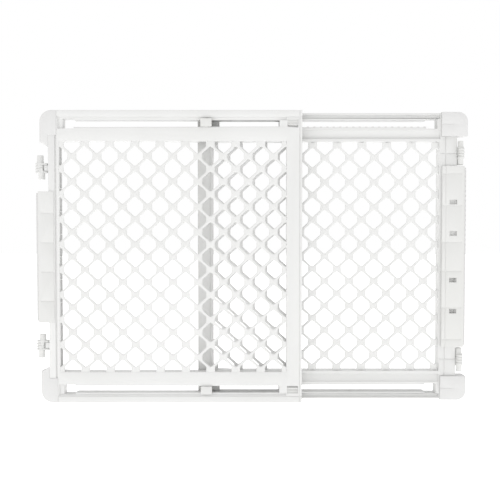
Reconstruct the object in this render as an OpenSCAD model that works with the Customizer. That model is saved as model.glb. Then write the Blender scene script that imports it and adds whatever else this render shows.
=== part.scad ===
// Two-panel sliding gate of moulded plastic with a diamond lattice.
// Millimetres. X runs along the gate, Y from the front panel to the rear panel, Z up.
// The origin is on the floor, at the middle of the stored gate's width and depth.

/* [Overall] */
// Height of the gate
gate_h = 660; // [560:1:800]
// Width of the front panel, from its notch wall to its meeting edge
front_w = 571; // [470:1:690]
// Width of the rear panel, from its meeting edge to its notch wall
rear_w = 593; // [490:1:715]
// Overlap of the two panels as stored
overlap_w = 237; // [195:1:285]
// Depth of each panel
panel_d = 28; // [24:0.5:40]
// Air gap between the two panels
panel_gap = 1.5; // [1:0.1:3]

/* [Front frame] */
// Height of the front panel's outer bars
front_bar_h = 22; // [18:0.5:28]
// Height of the front panel's rails, which carry the lattice
front_rail_h = 31.5; // [26:0.5:40]
// Width of the front panel's outer stile
outer_stile_w = 24; // [22:0.5:30]
// Width of each panel's meeting stile
meeting_stile_w = 35; // [32:0.5:45]
// Thickness of the moulded walls
wall_t = 2.5; // [2:0.1:3.5]
// Thickness of the ribs in the backs of the mouldings
rib_t = 2; // [1.5:0.1:3]
// Width of the decorative lines in the faces
line_w = 2.5; // [1:0.1:4]
// Depth of the decorative lines in the faces
line_d = 1.2; // [0.5:0.1:1.5]
// Distance of the front bars' line from the gate's top and bottom
bar_line_in = 15; // [11:0.5:18]
// Depth of the bars' inner halves behind the front face
bar_step_d = 4; // [2:0.5:6]
// Distance of the outer stile's line from the window
stile_line_in = 6; // [3:0.5:12]
// Width of the outer stile's line
stile_line_w = 3.5; // [2:0.1:5]
// Depth of the outer stile's line
stile_line_d = 2.5; // [1:0.1:3]
// Width of the lip outside the line on the front meeting stile
lip_w = 6; // [4:0.5:10]

/* [Rear frame] */
// How much lower the rear panel is than the gate, at the top and at the bottom
rear_drop = 2; // [1:0.5:4]
// Height of each lip of the rear panel's outer bars
lip_h = 4.5; // [3:0.5:6]
// Height of the groove between those lips
groove_h = 7; // [5:0.5:10]
// Depth of that groove
groove_d = 5; // [3:0.5:20]
// Height of the rear panel's rails
rear_rail_h = 33; // [28:0.5:40]
// Height of the sloping band in the rear rails
band_h = 18; // [12:0.5:20]
// Depth of that band at its deep edge, beside the window
band_d = 5; // [3:0.5:12]
// Depth of that band at its shallow edge
band_shallow_d = 1.5; // [1:0.5:3]
// Distance of the band from the window
band_in = 7; // [5:0.5:8]
// Distance of the rear meeting stile's line from the window
rear_line_in = 5; // [3:0.5:12]
// Width of the rear panel's end stile
end_stile_w = 40.5; // [36:0.5:50]

/* [Slots and hooks] */
// Height of the slots that the hooks run in
slot_h = 16; // [12:0.5:20]
// Height of the keyhole at the far end of each slot
keyhole_h = 22.6; // [18:0.1:28]
// Width of that keyhole
keyhole_w = 25.6; // [22:0.1:32]
// Distance from a bumper to the start of the front slot
front_slot_start = 13; // [8:0.5:20]
// Distance from the end of the front slot to the window's edge
front_slot_end = 16; // [14:0.5:24]
// Distance from the window's edge to the start of the rear slot
rear_slot_start = 14; // [8:0.5:20]
// Distance from the end of the rear slot to an end cap
rear_slot_end = 9; // [6:0.5:16]
// Width of a hook's stem
stem_w = 13; // [10:0.5:16]
// Distance from the rear panel's meeting edge to its hooks' stems
rear_stem_in = 14.5; // [8:0.5:16]
// Thickness of a hook's head
hook_head_t = 3.5; // [2.5:0.5:6]
// Clearance of a hook's head in its keyhole
head_gap = 0.3; // [0.2:0.1:0.6]
// Clearance of a hook's stem in its slot, and under its head
hook_gap = 0.5; // [0.3:0.1:1]

/* [Lattice] */
// Distance between neighbouring openings
pitch = 56.7; // [40:0.1:70]
// Width of an opening
opening_w = 37; // [24:0.5:44]
// Height of an opening
opening_h = 46; // [30:0.5:54]
// Height of an opening's blunt sides
blunt_h = 13; // [6:0.5:18]
// Radius that an opening's corners are cut to
opening_r = 4.5; // [2:0.5:6]
// Thickness of the lattice
lattice_t = 6; // [4:0.5:8]
// How far the rear lattice lies behind its frame's face
rear_recess = 4.5; // [0:0.5:8]
// Distance from the first column of openings to the meeting stile
lattice_edge = 1.3; // [0:0.1:4]

/* [Width locks] */
// Width of the ribbed tab
tab_w = 23.4; // [16:0.2:26]
// Height of the ribbed tab
tab_h = 13.7; // [10:0.1:16]
// Thickness of the ribbed tab
tab_t = 4; // [3:0.5:6]
// Depth of the slit that the tab slides into
tab_slit_d = 6; // [5:0.5:18]
// How far the tab slides to lock
lock_travel = 3.5; // [3:0.1:4]
// Distance from the window's edge to the tab
tab_in = 2; // [1.5:0.5:4]
// Height of a groove in the tab
tab_groove_h = 1.4; // [0.8:0.1:2]
// Width of the lock's arm
lock_arm_w = 12; // [8:0.5:14]
// Width of the lock's tooth
tooth_w = 6; // [4:0.5:8]
// Distance between the ratchet's teeth
ratchet_pitch = 15; // [12:0.5:18]
// Width of a ratchet tooth
ratchet_tooth_w = 5; // [3:0.5:6]
// Height of a ratchet tooth above its strip
ratchet_tooth_h = 3; // [2:0.5:4]
// Thickness of the strip under the teeth
strip_base_t = 1; // [1:0.5:2]
// Width of the strip, and its distance from the rear panel's back
ratchet_w = 7; // [5:0.5:9]
ratchet_in = 2; // [1:0.5:4]
// Distance from the first ratchet tooth to the lock
ratchet_lead = 90; // [60:15:90]
// Clearance around a sliding lock
lock_gap = 0.3; // [0.2:0.1:0.6]
// Clearance of an unlocked tooth over the ratchet's teeth
unlocked_gap = 0.8; // [0.5:0.1:1]

/* [Left end] */
// How far the corner bumpers stand out of the notch wall
bumper_out = 19; // [14:0.5:22]
// How far the corner bumpers reach in over the frame
bumper_in = 19; // [14:0.5:20]
// Height of a corner bumper at its outer face
bumper_h = 73; // [66:0.5:90]
// Height of the slope under a corner bumper
bumper_slope_h = 10; // [4:0.5:14]
// Width of the slope under a corner bumper
bumper_slope_w = 14; // [8:0.5:14]
// How far the stile reaches up behind a corner bumper, from the foot of its slope
bumper_lap = 27; // [20:0.5:30]
// Radius of a corner bumper
bumper_r = 27; // [15:0.5:30]
// How far the middle pad stands out of the notch wall, with its strip
pad_out = 27; // [20:0.5:30]
// Height of the middle pad
pad_h = 296; // [240:1:310]
// How far the pad's flange reaches in over the stile
pad_flange_w = 12; // [6:0.5:16]
// Thickness of the pad's flange
pad_flange_t = 2; // [1.5:0.5:4]
// Distance of the pad's lines from its outer edge
pad_line_in = 6; // [3:0.5:12]
// Thickness of the soft strips
strip_t = 4; // [3:0.5:6]
// Distance of a soft strip from its carrier's ends
strip_end_in = 4; // [2:0.5:8]
// Distance of a soft strip from its carrier's edges
strip_edge_in = 2; // [1:0.5:4]

/* [Right end] */
// How far the end caps stand out of the notch wall
cap_out = 23; // [18:0.5:26]
// Height of an end cap
cap_h = 55; // [44:0.5:66]
// Radius of an end cap
cap_r = 22; // [12:0.5:26]
// How far the end caps and the end plate stand in front of the rear frame's face
cap_proud = 5; // [3:0.5:8]
// Distance from the notch wall to the end cap's inner edge
cap_in = 36; // [30:0.5:39]
// Height of the seam across an end cap
seam_h = 1.6; // [1:0.1:2.5]
// Distance of that seam's end from the notch wall
seam_in = 10; // [4:0.5:16]
// How far the end plate stands out of the notch wall, with its strip
plate_out = 20.5; // [16:0.5:24]
// Distance from the notch wall to the end plate's inner edge
plate_in = 34.5; // [28:0.5:38]
// Height of the end plate
plate_h = 415; // [340:1:440]
// Distance of the end plate's upright line from its inner edge
plate_line_in = 8; // [4:0.5:12]
// Distance of the end plate's cross lines from its outer edge
plate_line_end = 6; // [3:0.5:12]
// Width of a window in the end plate
window_w = 16.5; // [10:0.5:18]
// Height of a window in the end plate
window_h = 10.5; // [6:0.5:14]
// Depth of the pocket behind an upper window, in the rear frame's stile
window_d = 1.5; // [0.5:0.5:10]
// Depth of the pocket behind a lower window
lower_window_d = 6; // [2:0.5:22]
// Distance of a window's inner edge from the notch wall
window_in = 17; // [16:0.5:20]

/* [Swing fittings] */
// Distance of a fitting's pivot outside its notch wall
pivot_out = 8.25; // [8:0.05:9.5]
// Distance from the pivot to the fitting's outer end
fitting_len = 24.25; // [20:0.25:28]
// Distance from the pivot to the middle of the inner post
post_offset = 10; // [8:0.25:12]
// How much further out the outer post stands
post_step = 3; // [0:0.5:4]
// Angle that a fitting folds through
fold_angle = 90; // [45:1:90]
// Radius of a post
post_r = 7.75; // [6:0.05:7.75]
// Length of the outer post, from the fitting's middle to its end
outer_post_len = 28.5; // [20:0.5:30]
// Length of the inner post, from the fitting's middle to its end
inner_post_len = 25.5; // [20:0.5:28]
// Radius of the tip on a right fitting's outer post
tip_r = 6; // [4:0.5:7]
// Radius of the ends of all the other posts
post_end_r = 7.25; // [5:0.25:7.5]
// Length of a post's tip or end
tip_len = 12; // [6:0.5:14]
// Width of the chamfer at a post's end
post_chamfer = 1; // [0.5:0.1:2]
// Thickness of the fitting's ribbed block
fitting_t = 15.5; // [12:0.1:15.9]
// Depth of the grooves between the block's ribs
rib_groove = 1.2; // [0.4:0.1:1.5]
// Height of the fitting's ribbed block
fitting_h = 22; // [20:0.5:34]
// Height of the stile's lug that the fitting straddles
lug_h = 12; // [10:0.5:18]
// Radius of the lug's end and of the fitting's ears
lug_r = 5.5; // [5:0.1:6]
// Clearance between the lug and the fitting
lug_gap = 0.4; // [0.3:0.05:0.6]
// Radius of a pivot pin
pivot_r = 2.5; // [2:0.1:3]
// Radial running clearance on a pivot pin
pivot_gap = 0.05; // [0.02:0.01:0.1]
// How far a pivot pin's ends lie inside the fitting
pivot_end_in = 0.5; // [0.2:0.1:1]
// Height of the left fittings above and below the gate's middle
hinge_z = 201; // [190:1:215]
// Height of the right fittings above and below the gate's middle
latch_z = 236; // [234:1:243]

/* [Screws] */
// Radius of a screw's shank
screw_r = 2; // [1.5:0.1:2.5]
// Radius of a screw's head
screw_head_r = 4; // [3:0.1:5]
// Height of a screw's head
screw_head_h = 2.5; // [2:0.1:3]
// Length of a screw's shank
screw_len = 12; // [8:0.5:14]
// Clearance round a screw's head
screw_gap = 0.3; // [0.2:0.1:0.6]
// Radius of the spigots that hold the bumpers and caps
spigot_r = 5; // [3:0.5:5]
// Distance of a cap's spigots from the stile's two sides
spigot_in = 9; // [8:0.5:12]
// Length of those spigots
spigot_len = 8; // [5:0.5:12]

/* [Hidden] */
$fn = 64;

white = [0.95, 0.95, 0.94];
soft_white = [0.92, 0.92, 0.9];
steel = [0.75, 0.76, 0.78];
cut = 1; // how far a cutting shape runs past a face

// Heights
mid_z = gate_h / 2;
front_slot_z = gate_h - front_bar_h - slot_h;
front_open_z = front_slot_z - front_rail_h;
rear_top = gate_h - rear_drop;
rear_bar_h = 2 * lip_h + groove_h;
rear_slot_z = rear_top - rear_bar_h - slot_h;
rear_open_z = rear_slot_z - rear_rail_h;

// Depths
front_y0 = -panel_gap / 2 - panel_d;
front_y1 = -panel_gap / 2;
rear_y0 = panel_gap / 2;
rear_y1 = panel_gap / 2 + panel_d;
front_mid_y = (front_y0 + front_y1) / 2;
rear_mid_y = (rear_y0 + rear_y1) / 2;

// Widths
fitting_out = pivot_out + fitting_len;
total_w = fitting_out + front_w + rear_w - overlap_w + cap_out;
front_x0 = -total_w / 2 + fitting_out;
front_x1 = front_x0 + front_w;
rear_x0 = front_x1 - overlap_w;
rear_x1 = rear_x0 + rear_w;
front_open_x = [front_x0 + outer_stile_w, front_x1 - meeting_stile_w];
rear_open_x = [rear_x0 + meeting_stile_w, rear_x1 - end_stile_w];
bumper_x = front_x0 + bumper_in;
cap_x = rear_x1 - cap_in;

front_stile_top = gate_h - bumper_h - bumper_slope_h + bumper_lap;
rear_stile_top = gate_h - cap_h;

// Slots and the hooks that run in them; the front slot ends at the front hook
front_slot_x = [bumper_x + front_slot_start, front_open_x[1] - front_slot_end];
rear_slot_x = [rear_open_x[0] + rear_slot_start, cap_x - rear_slot_end];
key_margin = (keyhole_h - slot_h) / 2;
hook_head_w = keyhole_w - 2 * head_gap;
front_hook_x = [front_slot_x[1], front_slot_x[1] + stem_w];
rear_hook_x = [rear_x0 + rear_stem_in, rear_x0 + rear_stem_in + stem_w];

// Ratchet strips
ratchet_y = [rear_y1 - ratchet_in - ratchet_w, rear_y1 - ratchet_in];
ratchet_top = rear_slot_z + strip_base_t + ratchet_tooth_h;
ratchet_teeth = 28;

// Locks: the tab rests raised and slides down to lock
lock_x = front_open_x[1] + tab_in + tab_w / 2 + lock_gap;
tab_z = front_slot_z + lock_gap + lock_travel;
lock_arm_z = [ratchet_top + lock_travel + lock_gap, tab_z + tab_h - lock_gap];
first_tooth_x = lock_x - ratchet_lead - (ratchet_pitch + ratchet_tooth_w) / 2;
ratchet_x = [first_tooth_x, first_tooth_x + (ratchet_teeth - 1) * ratchet_pitch + ratchet_tooth_w];

// Swing fittings
hinge_zs = [mid_z + hinge_z, mid_z - hinge_z];
latch_zs = [mid_z + latch_z, mid_z - latch_z];
hinge_pivot_x = front_x0 - pivot_out;
latch_pivot_x = rear_x1 + pivot_out;

// Rib lines on the pad and the plate, above and below the middle
pad_lines = [33, 99];
plate_lines = [33, 117, 190];
window_zs = [53.5, 125];
window_x = [rear_x1 - window_in, rear_x1 - window_in + window_w];
pad_screw_zs = [66, 120];
plate_screw_zs = [80, 155];

// A box given by its range along each axis.
module block(x, y, z) {
    translate([x[0], y[0], z[0]])
        cube([x[1] - x[0], y[1] - y[0], z[1] - z[0]]);
}

// Draws its children, and again mirrored about the gate's middle height.
module both_ends() {
    children();
    lower_end() children();
}

// Mirrors its children about the gate's middle height.
module lower_end() {
    translate([0, 0, gate_h]) mirror([0, 0, 1]) children();
}

// Extrudes an outline drawn in X and Z over a range of Y.
module upright(y) {
    translate([0, y[1], 0]) rotate([90, 0, 0]) linear_extrude(y[1] - y[0]) children();
}

// Extrudes an outline drawn in Y and Z over a range of X.
module along(x) {
    translate([x[0], 0, 0]) rotate([90, 0, 90]) linear_extrude(x[1] - x[0]) children();
}

// A row of n equal boxes along X with ribs between them.
module cells_x(x, y, z, n) {
    w = (x[1] - x[0] - (n - 1) * rib_t) / n;
    for (i = [0 : n - 1]) {
        a = x[0] + i * (w + rib_t);
        block([a, a + w], y, z);
    }
}

// A column of n equal boxes along Z with ribs between them.
module cells_z(x, y, z, n) {
    h = (z[1] - z[0] - (n - 1) * rib_t) / n;
    for (i = [0 : n - 1]) {
        a = z[0] + i * (h + rib_t);
        block(x, y, [a, a + h]);
    }
}

// A cell between two ribs at heights measured from the gate's middle.
module cell_between(x, y, low, high) {
    block(x, y, [mid_z + low + rib_t / 2, mid_z + high - rib_t / 2]);
}

// A window of the end plate at a height above the gate's middle, grown by g all round.
module window(x, z, y, g) {
    block([x[0] - g, x[1] + g], y, [mid_z + z - window_h / 2 - g, mid_z + z + window_h / 2 + g]);
}

// Outline of one lattice opening: a diamond with blunt sides and chamfered corners.
slope = atan((opening_w / 2) / (opening_h / 2 - blunt_h / 2));
side_corner = [opening_w / 2 - opening_r, blunt_h / 2 - opening_r * tan(slope / 2)];
top_corner = [0, opening_h / 2 - opening_r / sin(slope)];
// [centre, first angle, last angle] of each corner, anticlockwise from the lower right
corner_arcs = [
    [[side_corner[0], -side_corner[1]], -slope, 0],
    [side_corner, 0, slope],
    [top_corner, slope, 180 - slope],
    [[-side_corner[0], side_corner[1]], 180 - slope, 180],
    [-side_corner, 180, 180 + slope],
    [-top_corner, 180 + slope, 360 - slope]
];
opening_points = [
    for (arc = corner_arcs, a = [arc[1], arc[2]]) arc[0] + opening_r * [cos(a), sin(a)]
];

// A lattice that fills a frame's window, with its columns counted from a meeting stile.
module lattice(x, z, first_x, y0) {
    half = pitch / 2;
    columns = ceil((x[1] - x[0]) / half) + 1;
    rows = ceil((z[1] - z[0]) / 2 / half);
    way = first_x < (x[0] + x[1]) / 2 ? 1 : -1;
    upright([y0, y0 + lattice_t])
        difference() {
            translate([x[0], z[0]]) square([x[1] - x[0], z[1] - z[0]]);
            for (c = [0 : columns], r = [-rows : rows])
                if ((c + r) % 2 == 0)
                    translate([first_x + way * c * half, mid_z + r * half])
                        polygon(opening_points);
        }
}

// Cuts a slot with its keyhole at one end.
module slot(x, z0, y, keyhole_x) {
    block(x, [y[0] - cut, y[1] + cut], [z0, z0 + slot_h]);
    middle = z0 + slot_h / 2;
    block(keyhole_x, [y[0] - cut, y[1] + cut], [middle - keyhole_h / 2, middle + keyhole_h / 2]);
}

// Cuts a round hole along Z.
module hole_z(x, y, z, r) {
    translate([x, y, z[0]]) cylinder(r = r, h = z[1] - z[0]);
}

// Cuts a round hole along X.
module hole_x(x, y, z, r) {
    translate([x[0], y, z]) rotate([0, 90, 0]) cylinder(r = r, h = x[1] - x[0]);
}

// A lug that carries a fitting's pivot, from a notch wall at the origin out along +X.
module lug(z) {
    translate([0, -lug_r, z - lug_h / 2]) cube([pivot_out, 2 * lug_r, lug_h]);
    translate([pivot_out, 0, z - lug_h / 2]) cylinder(r = lug_r, h = lug_h);
}

module front_frame() {
    y = [front_y0, front_y1];
    back = [front_y0 + wall_t, front_y1 + cut];
    face = [front_y0 - cut, front_y0 + line_d];
    inner_bar_x = [bumper_x + wall_t, front_slot_x[1] - wall_t];
    bar_line_z = gate_h - bar_line_in;
    step_top = bar_line_z - line_w / 2;
    stile_line_x = front_open_x[0] - stile_line_in;
    key_z = [front_slot_z - key_margin, front_slot_z + slot_h + key_margin];
    lip_x = front_x1 - lip_w;
    color(white) difference() {
        union() {
            block([front_x0, front_x1], y, [0, gate_h]);
            for (z = hinge_zs)
                translate([front_x0, front_mid_y, 0]) rotate([0, 0, 180]) lug(z);
        }
        for (z = hinge_zs)
            hole_z(hinge_pivot_x, front_mid_y, [z - lug_h / 2 - cut, z + lug_h / 2 + cut], pivot_r);
        block(front_open_x, [y[0] - cut, y[1] + cut], [gate_h - front_open_z, front_open_z]);
        both_ends() {
            slot(front_slot_x, front_slot_z, y, [front_slot_x[0], front_slot_x[0] + keyhole_w]);
            // seat of the corner bumper
            block([front_x0 - cut, bumper_x], [y[0] - cut, y[1] + cut],
                [front_stile_top, gate_h + cut]);
            hole_x([bumper_x - cut, bumper_x + spigot_len], front_mid_y,
                gate_h - front_bar_h / 2, spigot_r);
            hole_z(front_x0 + outer_stile_w / 2, front_mid_y,
                [front_stile_top - spigot_len, front_stile_top + cut], spigot_r);
            // inner half of the bar, which runs on round the keyhole
            block([front_slot_x[0] - cut, front_open_x[1]], [y[0] - cut, y[0] + bar_step_d],
                [front_slot_z + slot_h - cut, step_top]);
            block([bumper_x + wall_t, front_slot_x[0] + cut], [y[0] - cut, y[0] + bar_step_d],
                [key_z[0], step_top]);
            // ribbed back of the bar, the rail and the meeting stile
            cells_x(inner_bar_x, back, [step_top + rib_t, gate_h - wall_t], 9);
            cells_x([front_open_x[0] + wall_t, front_open_x[1] - wall_t], back,
                [front_open_z + wall_t, key_z[0] - wall_t], 9);
            cells_z([front_open_x[1] + wall_t, front_x1 - wall_t], back,
                [mid_z + rib_t / 2, front_open_z], 5);
            // hollows of the outer stile, open to the window behind the lattice
            cells_z([front_x0 + wall_t, front_open_x[0] + cut],
                [y[0] + lattice_t + rib_t / 2, y[1] - wall_t],
                [mid_z + rib_t / 2, front_open_z - wall_t], 5);
            // line along the bar
            block([bumper_x, front_x1 + cut], face,
                [bar_line_z - line_w / 2, bar_line_z + line_w / 2]);
            // pocket and window of the width lock
            block([lock_x - tab_w / 2 - lock_gap, lock_x + tab_w / 2 + lock_gap],
                [y[0] - cut, y[0] + tab_t], [front_slot_z, tab_z + tab_h + lock_gap]);
            block([lock_x - tab_w / 2 - lock_gap, lock_x + tab_w / 2 + lock_gap],
                [y[0] - cut, y[0] + tab_slit_d], [front_slot_z, front_slot_z + lock_travel]);
            block([lock_x - lock_arm_w / 2 - lock_gap, lock_x + lock_arm_w / 2 + lock_gap],
                [y[0] - cut, y[1] + cut],
                [lock_arm_z[0] - lock_travel - lock_gap, lock_arm_z[1] + lock_gap]);
            // holes for the pad's screws, with room for their heads
            for (z = pad_screw_zs) {
                hole_x([front_x0 - cut, front_x0 + wall_t + cut], front_mid_y, mid_z + z, screw_r);
                hole_x([front_x0 + wall_t, front_open_x[0] + cut], front_mid_y, mid_z + z,
                    screw_head_r + screw_gap);
            }
        }
        // lines down the two stiles
        block([stile_line_x - stile_line_w, stile_line_x], [y[0] - cut, y[0] + stile_line_d],
            [gate_h - front_stile_top, front_stile_top]);
        block([lip_x, lip_x + line_w / 2], face, [-cut, gate_h + cut]);
    }
}

module front_lattice() {
    color(white) lattice(front_open_x, [gate_h - front_open_z, front_open_z],
        front_open_x[1] - lattice_edge, front_y0);
}

module left_bumper() {
    x0 = front_x0 - bumper_out;
    slope_z = [gate_h - bumper_h - bumper_slope_h, gate_h - bumper_h];
    color(soft_white) {
        upright([front_y0 - 1, front_y1]) difference() {
            translate([x0, slope_z[0]]) square([bumper_x - x0, gate_h - slope_z[0]]);
            // room for the stile
            translate([front_x0, slope_z[0] - cut]) square([bumper_in + cut, bumper_lap + cut]);
            // slope under the bumper
            polygon([
                [x0 - cut, slope_z[0] - cut], [front_x0, slope_z[0] - cut], [front_x0, slope_z[0]],
                [front_x0 - bumper_slope_w, slope_z[1]], [x0 - cut, slope_z[1]]
            ]);
            // rounded outer corner
            difference() {
                translate([x0 - cut, gate_h - bumper_r]) square([bumper_r + cut, bumper_r + cut]);
                translate([x0 + bumper_r, gate_h - bumper_r]) circle(r = bumper_r);
            }
        }
        hole_x([bumper_x, bumper_x + spigot_len], front_mid_y, gate_h - front_bar_h / 2, spigot_r);
        hole_z(front_x0 + outer_stile_w / 2, front_mid_y,
            [front_stile_top - spigot_len, front_stile_top], spigot_r);
    }
}

module left_bumper_top() {
    left_bumper();
}

module left_bumper_bottom() {
    lower_end() left_bumper();
}

module left_pad() {
    x0 = front_x0 - pad_out + strip_t;
    y = [front_y0 - pad_flange_t, front_y1];
    inner_x = [x0 + wall_t, front_x0 - wall_t];
    inner_y = [y[0] + wall_t + line_d, y[1] + cut];
    color(white) difference() {
        union() {
            block([x0, front_x0], y, [mid_z - pad_h / 2, mid_z + pad_h / 2]);
            block([front_x0, front_x0 + pad_flange_w], [y[0], front_y0],
                [mid_z - pad_h / 2, mid_z + pad_h / 2]);
        }
        cell_between(inner_x, inner_y, -pad_lines[0], pad_lines[0]);
        both_ends() {
            cell_between(inner_x, inner_y, pad_lines[0], pad_lines[1]);
            cell_between(inner_x, inner_y, pad_lines[1], pad_h / 2 - wall_t + rib_t / 2);
            for (z = pad_lines)
                block([x0 + pad_line_in, front_x0 + pad_flange_w + cut],
                    [y[0] - cut, y[0] + line_d / 2],
                    [mid_z + z - line_w / 2, mid_z + z + line_w / 2]);
            for (z = pad_screw_zs)
                hole_x([front_x0 - wall_t - cut, front_x0 + cut], front_mid_y, mid_z + z, screw_r);
        }
    }
}

module left_pad_strip() {
    x0 = front_x0 - pad_out;
    color(soft_white) block([x0, x0 + strip_t], [front_y0, front_y1 - strip_edge_in],
        [mid_z - pad_h / 2 + strip_end_in, mid_z + pad_h / 2 - strip_end_in]);
}

// A pan-head screw along X, with its head towards dir.
module screw_x(x, y, z, dir) {
    translate([x, y, z]) rotate([0, 90 * dir, 0]) {
        cylinder(r = screw_head_r, h = screw_head_h);
        translate([0, 0, -screw_len]) cylinder(r = screw_r, h = screw_len);
    }
}

module left_pad_screws() {
    color(steel) both_ends() for (z = pad_screw_zs)
        screw_x(front_x0 + wall_t, front_mid_y, mid_z + z, 1);
}

// A hook with a head that passes the keyhole; both are given by their ranges.
module hook(stem_x, stem_y, stem_z, head_x, head_y, head_z) {
    color(white) {
        block(stem_x, stem_y, stem_z);
        block(head_x, head_y, head_z);
    }
}

// The front hook's stem runs over the ratchet strip in the rear slot.
module front_hook_top() {
    y = rear_y1 + hook_gap;
    margin = key_margin - head_gap;
    hook(front_hook_x, [front_y1, y + hook_head_t],
        [ratchet_top + hook_gap, rear_slot_z + slot_h - hook_gap],
        [front_hook_x[0], front_hook_x[0] + hook_head_w], [y, y + hook_head_t],
        [rear_slot_z - margin, rear_slot_z + slot_h + margin]);
}

module front_hook_bottom() {
    lower_end() front_hook_top();
}

module rear_hook_top() {
    y = front_y0 - hook_gap;
    middle_x = (rear_hook_x[0] + rear_hook_x[1]) / 2;
    stem_z = [front_slot_z + hook_gap, front_slot_z + slot_h - hook_gap];
    hook(rear_hook_x, [y - hook_head_t, rear_y0], stem_z,
        [middle_x - hook_head_w / 2, middle_x + hook_head_w / 2], [y - hook_head_t, y],
        [stem_z[0], stem_z[1] + key_margin]);
}

module rear_hook_bottom() {
    lower_end() rear_hook_top();
}

// A pin through a fitting's two ears and the lug between them.
module pivot(x, y, z) {
    half = fitting_h / 2 - pivot_end_in;
    color(steel) hole_z(x, y, [z - half, z + half], pivot_r);
}

module hinge_pivot_top() {
    pivot(hinge_pivot_x, front_mid_y, hinge_zs[0]);
}

module hinge_pivot_bottom() {
    pivot(hinge_pivot_x, front_mid_y, hinge_zs[1]);
}

module latch_pivot_top() {
    pivot(latch_pivot_x, rear_mid_y, latch_zs[0]);
}

module latch_pivot_bottom() {
    pivot(latch_pivot_x, rear_mid_y, latch_zs[1]);
}

// The block's plan, grown by g: ears round the pivot, then the full thickness to a round end.
module fitting_layer(z, h, g) {
    r = fitting_t / 2 + g;
    end_x = max(fitting_len + g - r, post_offset + post_step);
    translate([0, 0, z]) {
        cylinder(r = lug_r + g, h = h);
        translate([0, -lug_r - g, 0]) cube([post_offset, 2 * (lug_r + g), h]);
        translate([post_offset, 0, 0]) cylinder(r = r, h = h);
        translate([post_offset, -r, 0]) cube([end_x - post_offset, 2 * r, h]);
        translate([end_x, 0, 0]) cylinder(r = r, h = h);
    }
}

// A post that stands on the fitting's middle plane, with a narrower tip of radius r_end.
module post(length, r_end) {
    shoulder = length - tip_len;
    step = post_r - r_end;
    rotate_extrude() polygon([
        [0, 0], [post_r, 0], [post_r, shoulder - step], [r_end, shoulder],
        [r_end, length - post_chamfer], [r_end - post_chamfer, length], [0, length]
    ]);
}

// A swing fitting with its pivot at the origin and its posts towards +X; the outer post points up.
module fitting(r_end) {
    rib_h = fitting_h / 7;
    color(white) difference() {
        union() {
            fitting_layer(-fitting_h / 2, fitting_h, -rib_groove);
            for (i = [0, 2, 4, 6]) fitting_layer(-fitting_h / 2 + i * rib_h, rib_h, 0);
            translate([post_offset + post_step, 0, 0]) post(outer_post_len, r_end);
            translate([post_offset, 0, 0]) mirror([0, 0, 1]) post(inner_post_len, post_end_r);
        }
        // room for the lug at every angle of the fold
        translate([-lug_r - cut, -fitting_t / 2 - cut, -lug_h / 2 - lug_gap])
            cube([2 * lug_r + cut + lug_gap, fitting_t + 2 * cut, lug_h + 2 * lug_gap]);
        translate([0, 0, -fitting_h]) cylinder(r = pivot_r + pivot_gap, h = 2 * fitting_h);
    }
}

// The left fittings are swung out, the right ones folded in towards the front.
module hinge_fitting_top() {
    translate([hinge_pivot_x, front_mid_y, hinge_zs[0]]) rotate([0, 0, 180])
        fitting(post_end_r);
}

module hinge_fitting_bottom() {
    lower_end() hinge_fitting_top();
}

module latch_fitting_top() {
    translate([latch_pivot_x, rear_mid_y, latch_zs[0]]) rotate([0, 0, -fold_angle]) fitting(tip_r);
}

module latch_fitting_bottom() {
    lower_end() latch_fitting_top();
}

// A ribbed tab in the meeting stile, with an arm that reaches back to the ratchet strip.
module width_lock_top() {
    x = [lock_x - tab_w / 2, lock_x + tab_w / 2];
    arm_x = [lock_x - lock_arm_w / 2, lock_x + lock_arm_w / 2];
    y = front_y0 + lock_gap;
    color(white) {
        difference() {
            block(x, [y, front_y0 + tab_t], [tab_z, tab_z + tab_h]);
            for (i = [1, 2, 3])
                translate([0, 0, tab_z + tab_h * i / 4 - tab_groove_h / 2])
                    block([x[0] - cut, x[1] + cut], [y - cut, y + line_d], [0, tab_groove_h]);
        }
        block(arm_x, [front_y0 + tab_t, ratchet_y[1]], lock_arm_z);
        block([lock_x - tooth_w / 2, lock_x + tooth_w / 2], ratchet_y,
            [ratchet_top + unlocked_gap, lock_arm_z[0]]);
    }
}

module width_lock_bottom() {
    lower_end() width_lock_top();
}

// A toothed strip on the rear rail, inside the slot.
module ratchet_strip_top() {
    base_z = rear_slot_z + strip_base_t;
    color(white) {
        block(ratchet_x, ratchet_y, [rear_slot_z, base_z]);
        for (i = [0 : ratchet_teeth - 1]) {
            x = first_tooth_x + i * ratchet_pitch;
            block([x, x + ratchet_tooth_w], ratchet_y, [base_z, ratchet_top]);
        }
    }
}

module ratchet_strip_bottom() {
    lower_end() ratchet_strip_top();
}

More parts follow.
